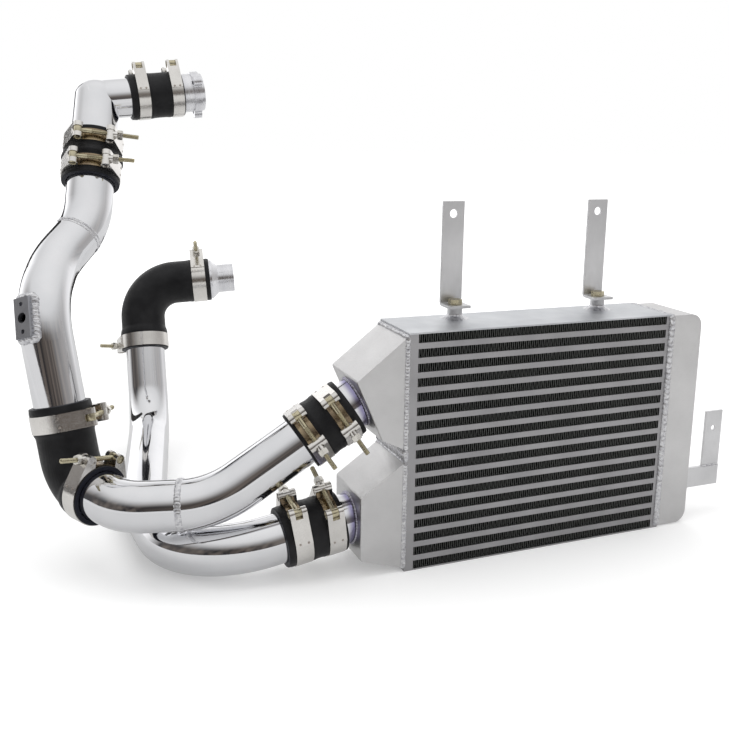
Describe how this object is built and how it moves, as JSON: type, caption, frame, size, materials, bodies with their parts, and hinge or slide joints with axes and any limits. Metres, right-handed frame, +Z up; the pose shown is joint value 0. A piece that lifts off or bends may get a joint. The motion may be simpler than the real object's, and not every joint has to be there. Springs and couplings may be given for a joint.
{
  "type": "front mount intercooler",
  "caption": "Air-to-air bar-and-plate intercooler with welded end tanks, mounting brackets and polished pipe runs joined by silicone hoses.",
  "frame": {"origin": "middle of the core's underside, on the floor", "axes": "+X towards the return tank, +Y through the core from its face to the pipe side, +Z up"},
  "size_m": [0.7896, 0.561, 0.5186],
  "materials": {
    "core_aluminium": "satin, brazed",
    "fin_aluminium": "dull",
    "tank_aluminium": "satin, bead welded",
    "polished_pipe": "mirror polished",
    "turned_aluminium": "turned",
    "bracket_aluminium": "satin",
    "silicone": "matte black",
    "clamp_stainless": "bright",
    "zinc_bolt": "yellow zinc plated steel"
  },
  "bodies": {
    "root": {"air_side_bars": "core_aluminium", "bracket_bolts": "zinc_bolt", "bracket_bosses": "bracket_aluminium", "charge_side_bars": "core_aluminium", "charge_turbulators": "core_aluminium", "clamp_bridges": "clamp_stainless", "clamp_nuts": "clamp_stainless", "clamp_trunnions": "clamp_stainless", "cooling_fins": "fin_aluminium", "core_bottom_plate": "core_aluminium", "core_top_plate": "core_aluminium", "front_elbow_lower_clamp_band": "clamp_stainless", "front_elbow_lower_clamp_bolt": "zinc_bolt", "front_elbow_upper_clamp_band": "clamp_stainless", "front_elbow_upper_clamp_bolt": "zinc_bolt", "front_lower_pipe": "polished_pipe", "front_silicone_elbow": "silicone", "left_mounting_bracket": "bracket_aluminium", "lobed_flange_adapter": "turned_aluminium", "lower_outlet_tank": "tank_aluminium", "lower_tank_hose": "silicone", "lower_tank_hose_inner_clamp_band": "clamp_stainless", "lower_tank_hose_inner_clamp_bolt": "zinc_bolt", "lower_tank_hose_outer_clamp_band": "clamp_stainless", "lower_tank_hose_outer_clamp_bolt": "zinc_bolt", "lower_tank_stub": "polished_pipe", "parting_sheets": "core_aluminium", "rear_elbow_lower_clamp_band": "clamp_stainless", "rear_elbow_lower_clamp_bolt": "zinc_bolt", "rear_elbow_upper_clamp_band": "clamp_stainless", "rear_elbow_upper_clamp_bolt": "zinc_bolt", "rear_lower_pipe": "polished_pipe", "rear_silicone_elbow": "silicone", "return_tank": "tank_aluminium", "right_mounting_bracket": "bracket_aluminium", "riser_hose": "silicone", "riser_hose_lower_clamp_band": "clamp_stainless", "riser_hose_lower_clamp_bolt": "zinc_bolt", "riser_hose_upper_clamp_band": "clamp_stainless", "riser_hose_upper_clamp_bolt": "zinc_bolt", "riser_pipe": "polished_pipe", "sensor_flange": "turned_aluminium", "side_arm": "bracket_aluminium", "side_arm_tab": "bracket_aluminium", "stepped_adapter": "turned_aluminium", "top_elbow_pipe": "polished_pipe", "top_hose": "silicone", "top_hose_left_clamp_band": "clamp_stainless", "top_hose_left_clamp_bolt": "zinc_bolt", "top_hose_right_clamp_band": "clamp_stainless", "top_hose_right_clamp_bolt": "zinc_bolt", "upper_inlet_tank": "tank_aluminium", "upper_tank_hose": "silicone", "upper_tank_hose_inner_clamp_band": "clamp_stainless", "upper_tank_hose_inner_clamp_bolt": "zinc_bolt", "upper_tank_hose_outer_clamp_band": "clamp_stainless", "upper_tank_hose_outer_clamp_bolt": "zinc_bolt", "upper_tank_stub": "polished_pipe"}
  },
  "joints": []
}
